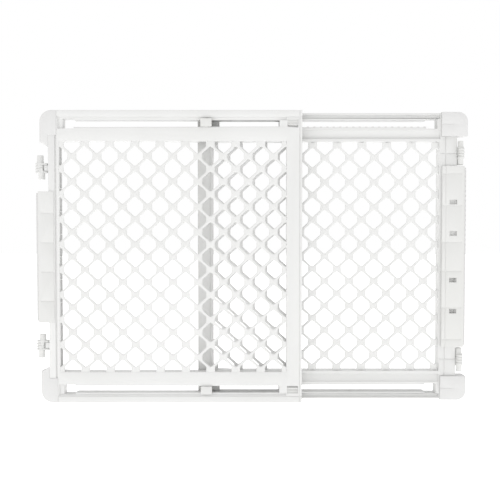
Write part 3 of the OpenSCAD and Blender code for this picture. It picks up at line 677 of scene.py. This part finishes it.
def corner_bumper(node):
    """A bumper at the gate's top."""
    low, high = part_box(node)
    wall_x = low.x + BUMPER_OUT
    step = high.z - BUMPER_STEP
    foot = high.z - BUMPER_H
    piece = add_block(node + "_vinyl", (low.x, low.y, step), (wall_x + BUMPER_IN, high.y, high.z))
    edit(piece)
    pick(piece, "EDGE", lambda e: near(middle_of(e).x, low.x) and near(middle_of(e).z, high.z))
    bpy.ops.mesh.bevel(offset=BUMPER_R, segments=CORNER_SEGMENTS, affect="EDGES")
    bpy.ops.mesh.select_all(action="SELECT")
    bpy.ops.mesh.bisect(plane_co=(wall_x, 0, 0), plane_no=(1, 0, 0))
    pick(piece, "FACE", lambda f: near(f.calc_center_median().z, step)
         and f.calc_center_median().x < wall_x)
    bpy.ops.mesh.extrude_region_move(TRANSFORM_OT_translate={"value": (0, 0, foot - step)})
    bpy.ops.mesh.select_all(action="SELECT")
    bpy.ops.mesh.bisect(plane_co=(wall_x - SLOPE_W, 0, 0), plane_no=(1, 0, 0))
    pick(piece, "EDGE", lambda e: near(middle_of(e).x, wall_x) and near(middle_of(e).z, foot))
    bpy.ops.transform.translate(value=(0, 0, -SLOPE_H))
    leave()
    round_edges(piece, BUMPER_EDGE_R, segments=3, angle=25)
    return piece


bumper = corner_bumper("left_bumper_top")
other_bumper = turned_over(bumper, "left_bumper_bottom_vinyl")
finish_piece(bumper, vinyl, "front", "left_bumper_top")
finish_piece(other_bumper, vinyl, "front", "left_bumper_bottom")

# %% [markdown]
# The end caps close the other panel's corners. They are plain blocks with one rolled corner and a
# seam: three cuts mark out the seam's strip on the front face, and extruding the strip inwards
# sinks it.

# %% End caps
CAP_W = 59 * MM
CAP_H = 55 * MM
CAP_R = 22 * MM
SEAM_H = 1.6 * MM
SEAM_END = 33 * MM
SEAM_D = 0.8 * MM
CAP_EDGE_R = 0.35 * MM


def end_cap(node):
    """A cap at the gate's top."""
    low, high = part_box(node)
    piece = add_block(node + "_vinyl", (high.x - CAP_W, low.y, high.z - CAP_H), high)
    seam_z = high.z - CAP_H / 2
    edit(piece)
    for point, normal in (
        ((0, 0, seam_z - SEAM_H / 2), (0, 0, 1)),
        ((0, 0, seam_z + SEAM_H / 2), (0, 0, 1)),
        ((high.x - SEAM_END, 0, 0), (1, 0, 0)),
    ):
        bpy.ops.mesh.select_all(action="SELECT")
        bpy.ops.mesh.bisect(plane_co=point, plane_no=normal)
    pick(piece, "FACE", lambda f: near(f.calc_center_median().y, low.y)
         and near(f.calc_center_median().z, seam_z)
         and f.calc_center_median().x < high.x - SEAM_END)
    bpy.ops.mesh.extrude_region_move(TRANSFORM_OT_translate={"value": (0, SEAM_D, 0)})
    pick(piece, "EDGE", lambda e: near(middle_of(e).x, high.x) and near(middle_of(e).z, high.z))
    bpy.ops.mesh.bevel(offset=CAP_R, segments=CORNER_SEGMENTS, affect="EDGES")
    leave()
    round_edges(piece, CAP_EDGE_R, angle=25)
    return piece


cap = end_cap("right_cap_top")
other_cap = turned_over(cap, "right_cap_bottom_vinyl")
finish_piece(cap, vinyl, "rear", "right_cap_top")
finish_piece(other_cap, vinyl, "rear", "right_cap_bottom")

# %% [markdown]
# The strips that press on the wall are ribbed so that they grip. A block is cut into bands, every
# other band's outer face is pushed in, and the edges are rounded.

# %% Grip strips
RIBS = 36
RIB_D = 0.9 * MM
RIB_EDGE_R = 0.25 * MM


def grip_strip(node, body, out):
    """A strip whose ribs face -X (out = -1) or +X (out = 1)."""
    low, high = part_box(node)
    piece = add_block(node + "_vinyl", low, high)
    band = (high.z - low.z) / (2 * RIBS + 1)
    outer_x = high.x if out > 0 else low.x
    edit(piece)
    for i in range(1, 2 * RIBS + 1):
        bpy.ops.mesh.select_all(action="SELECT")
        bpy.ops.mesh.bisect(plane_co=(0, 0, low.z + i * band), plane_no=(0, 0, 1))
    pick(piece, "FACE", lambda f: near(f.calc_center_median().x, outer_x)
         and int((f.calc_center_median().z - low.z) / band) % 2 == 1)
    bpy.ops.mesh.extrude_region_move(TRANSFORM_OT_translate={"value": (-out * RIB_D, 0, 0)})
    leave()
    round_edges(piece, RIB_EDGE_R, segments=1)
    finish_piece(piece, vinyl, body, node)


grip_strip("left_pad_strip", "front", -1)
grip_strip("end_plate_strip", "rear", 1)

# %% [markdown]
# The screws are pan heads with a cross. One screw is made at the origin: a cylinder whose rim is
# rounded over, a cross cut with a boolean, and a shank with a tapered point. It is then copied to
# each place with a mesh of its own, and each node's copies are joined.

# %% Screws
HEAD_R = 4 * MM
HEAD_H = 2.5 * MM
SHANK_R = 2 * MM
SHANK_L = 12 * MM
CROSS_W = 1.1 * MM
CROSS_D = 1.3 * MM
CROSS_REACH = 0.62 * HEAD_R
HEAD_ROLL = 1.2 * MM
POINT_TAPER = 1.4 * MM
HEAD_SIDES = 32
SHANK_SIDES = 24
PAD_SCREW_AT = 66 * MM
PLATE_SCREW_AT = 80 * MM


def pan_screw():
    """A screw along +X, with the underside of its head at the origin."""
    bpy.ops.object.select_all(action="DESELECT")
    bpy.ops.mesh.primitive_cylinder_add(vertices=HEAD_SIDES, radius=HEAD_R, depth=HEAD_H,
                                        location=(HEAD_H / 2, 0, 0), rotation=(0, math.pi / 2, 0))
    bpy.ops.object.transform_apply(location=True, rotation=True, scale=True)
    head = bpy.context.object
    edit(head)
    pick(head, "EDGE", lambda e: near(e.verts[0].co.x, HEAD_H) and near(e.verts[1].co.x, HEAD_H))
    bpy.ops.mesh.bevel(offset=HEAD_ROLL, segments=4, affect="EDGES")
    leave()
    arms = [add_block("cross", (HEAD_H - CROSS_D, -a, -b), (HEAD_H + MM, a, b))
            for a, b in ((CROSS_REACH, CROSS_W / 2), (CROSS_W / 2, CROSS_REACH))]
    for arm in arms:
        only(head)
        cut = head.modifiers.new("cross", "BOOLEAN")
        cut.operation = "DIFFERENCE"
        cut.solver = "EXACT"
        cut.object = arm
        bpy.ops.object.modifier_apply(modifier=cut.name)
        bpy.data.objects.remove(arm)
    bpy.ops.object.select_all(action="DESELECT")
    bpy.ops.mesh.primitive_cylinder_add(vertices=SHANK_SIDES, radius=SHANK_R, depth=SHANK_L,
                                        location=(-SHANK_L / 2, 0, 0),
                                        rotation=(0, math.pi / 2, 0))
    bpy.ops.object.transform_apply(location=True, rotation=True, scale=True)
    shank = bpy.context.object
    edit(shank)
    pick(shank, "FACE", lambda f: near(f.calc_center_median().x, -SHANK_L))
    bpy.ops.mesh.bevel(offset=POINT_TAPER, segments=3, affect="EDGES")
    leave()
    only(head)
    shank.select_set(True)
    bpy.ops.object.join()
    bpy.ops.object.shade_smooth_by_angle(angle=math.radians(40))
    return head


def screw_set(node, body, direction, offsets):
    """Copies of the screw at heights above and below the middle of a node's box."""
    low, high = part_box(node)
    middle = (low + high) / 2
    seat_x = high.x - HEAD_H if direction > 0 else low.x + HEAD_H
    screw = pan_screw()
    copies = []
    for offset in offsets:
        for z in (middle.z + offset, middle.z - offset):
            copy = copy_of(screw, node + "_set")
            copy.location = (seat_x, middle.y, z)
            copy.rotation_euler = (0, 0, 0 if direction > 0 else math.pi)
            copies.append(copy)
    bpy.data.objects.remove(screw)
    only(copies[0])
    for copy in copies[1:]:
        copy.select_set(True)
    bpy.ops.object.join()
    bpy.ops.object.transform_apply(location=True, rotation=True, scale=True)
    finish_piece(copies[0], steel, body, node)


def screw_offsets(node, inner):
    """The two heights of a node's screws from its middle: a stated one and the box's outer one."""
    low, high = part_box(node)
    return inner, (high.z - low.z) / 2 - HEAD_R


screw_set("left_pad_screws", "front", 1, screw_offsets("left_pad_screws", PAD_SCREW_AT))
screw_set("end_plate_screws", "rear", -1,
          screw_offsets("end_plate_screws", PLATE_SCREW_AT))

# %% [markdown]
# The pivots are plain pins. One cylinder's two rims are rounded over with a bevel, and the pin is
# copied to its four places.

# %% Pivot pins
PIN_SIDES = 32
PIN_ROLL = 0.6 * MM


def pivot_pin():
    """A pin at the origin, with its size from the first pivot's box."""
    low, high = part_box("hinge_pivot_top")
    bpy.ops.object.select_all(action="DESELECT")
    bpy.ops.mesh.primitive_cylinder_add(vertices=PIN_SIDES, radius=(high.x - low.x) / 2,
                                        depth=high.z - low.z)
    pin = bpy.context.object
    edit(pin)
    pick(pin, "EDGE", lambda e: near(e.verts[0].co.z, e.verts[1].co.z))
    bpy.ops.mesh.bevel(offset=PIN_ROLL, segments=3, affect="EDGES")
    leave()
    only(pin)
    bpy.ops.object.shade_smooth_by_angle(angle=SMOOTH_BELOW)
    return pin


master_pin = pivot_pin()
for node, body in (("hinge_pivot_top", "front"), ("hinge_pivot_bottom", "front"),
                   ("latch_pivot_top", "rear"), ("latch_pivot_bottom", "rear")):
    low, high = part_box(node)
    pin = copy_of(master_pin, node + "_pin")
    edit(pin)
    bpy.ops.mesh.select_all(action="SELECT")
    bpy.ops.transform.translate(value=(low + high) / 2)
    leave()
    finish_piece(pin, steel, body, node)
bpy.data.objects.remove(master_pin)

# %% [markdown]
# A swing fitting is a ribbed block on a pivot with a post above and a post below. The block is a
# cylinder pulled out into a stadium, cut into seven bands, with every other band pushed in. A
# narrower neck with a round end joins it to the pivot. The posts are cylinders whose ends are
# drawn in, and booleans join the parts and cut the room for the lug and the pin. It is modelled
# once lying along +X with its outer post up, then copied, turned and mirrored to its four places.

# %% Swing fittings
FITTING_LEN = 24.25 * MM
FITTING_T = 15.5 * MM
FITTING_H = 22 * MM
POST_AT = 10 * MM
POST_STEP = 3 * MM
POST_R = 7.75 * MM
EAR_R = 5.5 * MM
LUG_H = 12 * MM
LUG_GAP = 0.4 * MM
RIB_GROOVE = 1.2 * MM
BANDS = 7
BORE_R = 2.55 * MM
OUTER_POST = 28.5 * MM
INNER_POST = 25.5 * MM
POST_END_R = 7.25 * MM
TIP_R = 6 * MM
TIP_LEN = 12 * MM
TIP_ROLL = 1 * MM
FITTING_EDGE_R = 0.22 * MM


def add_rod(name, radius, low_z, high_z, x, sides=48):
    """An upright cylinder with its place in its mesh."""
    bpy.ops.object.select_all(action="DESELECT")
    bpy.ops.mesh.primitive_cylinder_add(vertices=sides, radius=radius, depth=high_z - low_z,
                                        location=(x, 0, (low_z + high_z) / 2))
    bpy.ops.object.transform_apply(location=True, rotation=True, scale=True)
    bpy.context.object.name = name
    return bpy.context.object


def combine(piece, other, operation):
    """Joins another solid to a piece, or cuts it away."""
    only(piece)
    cut = piece.modifiers.new("combine", "BOOLEAN")
    cut.operation = operation
    cut.solver = "EXACT"
    cut.object = other
    bpy.ops.object.modifier_apply(modifier=cut.name)
    bpy.data.objects.remove(other)


def grooved(piece):
    """Cuts a block's sides into bands and pushes every other one in."""
    edit(piece)
    band = FITTING_H / BANDS
    for i in range(1, BANDS):
        bpy.ops.mesh.select_all(action="SELECT")
        bpy.ops.mesh.bisect(plane_co=(0, 0, -FITTING_H / 2 + i * band), plane_no=(0, 0, 1))
    for i in range(1, BANDS, 2):
        middle_z = -FITTING_H / 2 + (i + 0.5) * band
        pick(piece, "FACE", lambda f: near(f.calc_center_median().z, middle_z)
             and abs(f.normal.z) < 0.5)
        bpy.ops.mesh.extrude_region_move()
        bpy.ops.transform.shrink_fatten(value=-RIB_GROOVE, use_even_offset=True)
    leave()


def post(length, end_r, x, up):
    """A post from the fitting's middle whose last part is narrower and chamfered."""
    low_z, high_z = sorted((0, up * length))
    rod = add_rod("post", POST_R, low_z, high_z, x)
    shoulder = up * (length - TIP_LEN)
    edit(rod)
    bpy.ops.mesh.select_all(action="SELECT")
    bpy.ops.mesh.bisect(plane_co=(0, 0, shoulder - up * (POST_R - end_r)), plane_no=(0, 0, 1))
    bpy.ops.mesh.select_all(action="SELECT")
    bpy.ops.mesh.bisect(plane_co=(0, 0, shoulder), plane_no=(0, 0, 1))
    pick(rod, "VERT", lambda v: v.co.z * up > shoulder * up - CLOSE)
    narrower = end_r / POST_R
    bpy.ops.transform.resize(value=(narrower, narrower, 1), center_override=(x, 0, 0))
    pick(rod, "EDGE", lambda e: all(near(v.co.z, up * length) for v in e.verts))
    bpy.ops.mesh.bevel(offset=TIP_ROLL, segments=3, affect="EDGES")
    leave()
    return rod


def fitting(name, end_r):
    """A fitting with its pivot at the origin."""
    block = add_rod(name, FITTING_T / 2, -FITTING_H / 2, FITTING_H / 2, POST_AT)
    edit(block)
    pick(block, "VERT", lambda v: v.co.x > POST_AT + CLOSE)
    bpy.ops.transform.translate(value=(FITTING_LEN - FITTING_T / 2 - POST_AT, 0, 0))
    leave()
    grooved(block)
    neck = add_rod("neck", EAR_R, -FITTING_H / 2, FITTING_H / 2, 0)
    edit(neck)
    pick(neck, "VERT", lambda v: v.co.x > CLOSE)
    bpy.ops.transform.translate(value=(POST_AT, 0, 0))
    leave()
    grooved(neck)
    combine(block, neck, "UNION")
    combine(block, post(OUTER_POST, end_r, POST_AT + POST_STEP, 1), "UNION")
    combine(block, post(INNER_POST, POST_END_R, POST_AT, -1), "UNION")
    room_h = LUG_H / 2 + LUG_GAP
    combine(block, add_block("room", (-EAR_R - MM, -FITTING_T, -room_h),
                             (EAR_R + LUG_GAP, FITTING_T, room_h)), "DIFFERENCE")
    combine(block, add_rod("bore", BORE_R, -FITTING_H, FITTING_H, 0), "DIFFERENCE")
    round_edges(block, FITTING_EDGE_R, segments=1, angle=40)
    return block


def place_fitting(master, node, pin, turn, flip):
    """A copy of a fitting at a pin, turned about it, and turned over where flip is true."""
    low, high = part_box(pin)
    piece = copy_of(master, node + "_block")
    edit(piece)
    bpy.ops.mesh.select_all(action="SELECT")
    if flip:
        bpy.ops.transform.mirror(constraint_axis=(False, False, True), center_override=(0, 0, 0))
    bpy.ops.transform.rotate(value=turn, orient_axis="Z", center_override=(0, 0, 0))
    bpy.ops.transform.translate(value=(low + high) / 2)
    bpy.ops.mesh.normals_make_consistent(inside=False)
    leave()
    finish_piece(piece, hardware_plastic, node, node)


for side, turn, end_r in (("hinge", math.pi, POST_END_R), ("latch", math.pi / 2, TIP_R)):
    master_fitting = fitting(side, end_r)
    for end in ("top", "bottom"):
        place_fitting(master_fitting, f"{side}_fitting_{end}", f"{side}_pivot_{end}", turn,
                      flip=end == "bottom")
    bpy.data.objects.remove(master_fitting)
